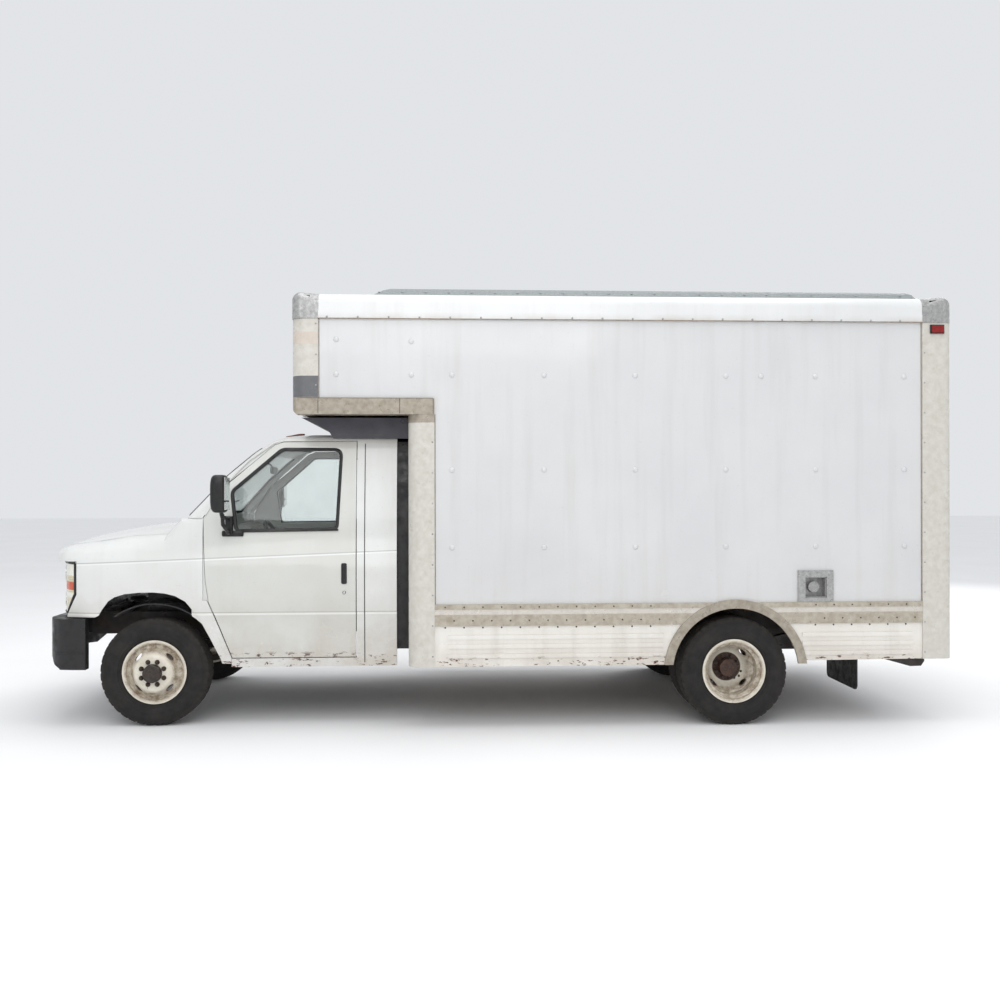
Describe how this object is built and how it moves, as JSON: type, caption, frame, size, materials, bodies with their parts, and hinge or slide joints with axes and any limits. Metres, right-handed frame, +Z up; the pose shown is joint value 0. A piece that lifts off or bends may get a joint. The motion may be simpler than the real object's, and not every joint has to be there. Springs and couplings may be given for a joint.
{
  "type": "box truck",
  "caption": "Cutaway-cab box truck with a cargo body and loft over the cab, opening doors and hood, and rolling, steering wheels.",
  "frame": {"origin": "on the ground under the middle of the truck, halfway along its length and on its centreline", "axes": "+X rearward along the truck, -Y the driver side, +Z up"},
  "size_m": [6.32, 2.692, 3.041],
  "materials": {
    "chassis": "black chassis paint",
    "engine": "cast metal",
    "steel": "dull steel",
    "cab_paint": "aged white paint",
    "floor_mat": "moulded mat",
    "glass": "tinted",
    "black_plastic": "moulded",
    "lamp": "yellowed clear lens",
    "bumper_plastic": "grained",
    "interior_plastic": "grained",
    "seat_cloth": "woven cloth",
    "rubber": "moulded rubber",
    "amber_lens": "weathered amber",
    "fairing_plastic": "weathered grey",
    "dull_aluminium": "oxidised",
    "floor_wood": "worn boards",
    "box_paint": "white panel",
    "roof_sheet": "translucent sheet",
    "rail_paint": "white enamel",
    "post_paint": "aged warm white",
    "cap_aluminium": "cast aluminium",
    "skirt_paint": "white panel",
    "red_lens": "red lens",
    "cast": "rough casting",
    "tyre": "worn tread",
    "rim_paint": "aged cream white"
  },
  "bodies": {
    "root": {"frame": "chassis", "engine_block": "engine", "front_axle": "chassis", "rear_axle": "chassis", "springs": "chassis", "driveshaft": "steel", "exhaust": "steel", "fuel_tank": "chassis", "cab_shell": "cab_paint", "cab_floor": "floor_mat", "fender_left": "cab_paint", "fender_right": "cab_paint", "windshield": "glass", "grille": "black_plastic", "headlamps": "lamp", "front_bumper": "bumper_plastic", "wheel_liners": "black_plastic", "dashboard": "interior_plastic", "seats": "seat_cloth", "cab_boot": "rubber", "cab_lamps": "amber_lens", "loft_fairing": "fairing_plastic", "loft_rails": "dull_aluminium", "cargo_floor": "floor_wood", "front_wall": "box_paint", "side_wall_left": "box_paint", "side_wall_right": "box_paint", "roof": "roof_sheet", "roof_rails": "rail_paint", "corner_posts": "post_paint", "corner_caps": "cap_aluminium", "rear_frame": "post_paint", "roll_door": "box_paint", "wheel_arches": "dull_aluminium", "side_skirts": "skirt_paint", "rub_rails": "dull_aluminium", "fuel_filler": "cap_aluminium", "rear_bumper": "chassis", "mud_flaps": "rubber", "marker_lamps": "red_lens"},
    "hood": {"hood": "cab_paint"},
    "door_left": {"door_left": "cab_paint", "door_glass_left": "glass", "mirror_left": "black_plastic"},
    "door_right": {"door_right": "cab_paint", "door_glass_right": "glass", "mirror_right": "black_plastic"},
    "steering_wheel": {"steering_wheel": "black_plastic"},
    "knuckle_left": {"knuckle_left": "cast"},
    "knuckle_right": {"knuckle_right": "cast"},
    "front_wheel_left": {"front_tyre_left": "tyre", "front_rim_left": "rim_paint"},
    "front_wheel_right": {"front_tyre_right": "tyre", "front_rim_right": "rim_paint"},
    "rear_wheels_left": {"rear_tyres_left": "tyre", "rear_rims_left": "rim_paint"},
    "rear_wheels_right": {"rear_tyres_right": "tyre", "rear_rims_right": "rim_paint"}
  },
  "joints": [
    {"name": "steer_left", "type": "hinge", "parent": "root", "child": "knuckle_left", "pos_m": [-2.385, -0.745, 0.372], "axis": [0, 0, 1], "range_deg": [-30, 30]},
    {"name": "steer_right", "type": "hinge", "parent": "root", "child": "knuckle_right", "pos_m": [-2.385, 0.745, 0.372], "axis": [0, 0, 1], "range_deg": [-30, 30]},
    {"name": "front_wheel_left_spin", "type": "hinge", "parent": "knuckle_left", "child": "front_wheel_left", "pos_m": [-2.385, -0.881, 0.372], "axis": [0, 1, 0], "continuous": true},
    {"name": "front_wheel_right_spin", "type": "hinge", "parent": "knuckle_right", "child": "front_wheel_right", "pos_m": [-2.385, 0.881, 0.372], "axis": [0, 1, 0], "continuous": true},
    {"name": "rear_wheels_left_spin", "type": "hinge", "parent": "root", "child": "rear_wheels_left", "pos_m": [1.628, -0.955, 0.372], "axis": [0, 1, 0], "continuous": true},
    {"name": "rear_wheels_right_spin", "type": "hinge", "parent": "root", "child": "rear_wheels_right", "pos_m": [1.628, 0.955, 0.372], "axis": [0, 1, 0], "continuous": true},
    {"name": "door_left_swing", "type": "hinge", "parent": "root", "child": "door_left", "pos_m": [-2.047, -1, 1], "axis": [0, 0, -1], "range_deg": [0, 65]},
    {"name": "door_right_swing", "type": "hinge", "parent": "root", "child": "door_right", "pos_m": [-2.047, 1, 1], "axis": [0, 0, 1], "range_deg": [0, 65]},
    {"name": "hood_lift", "type": "hinge", "parent": "root", "child": "hood", "pos_m": [-2.255, 0, 1.385], "axis": [0, 1, 0], "range_deg": [0, 50]},
    {"name": "steering_wheel_turn", "type": "hinge", "parent": "root", "child": "steering_wheel", "pos_m": [-1.625, -0.42, 1.235], "axis": [0.8829, 0, 0.4695], "range_deg": [-510, 510]}
  ],
  "couplings": [
    {"joint": "steer_right", "follows": "steer_left", "ratio": 1},
    {"joint": "steering_wheel_turn", "follows": "steer_left", "ratio": 17}
  ]
}
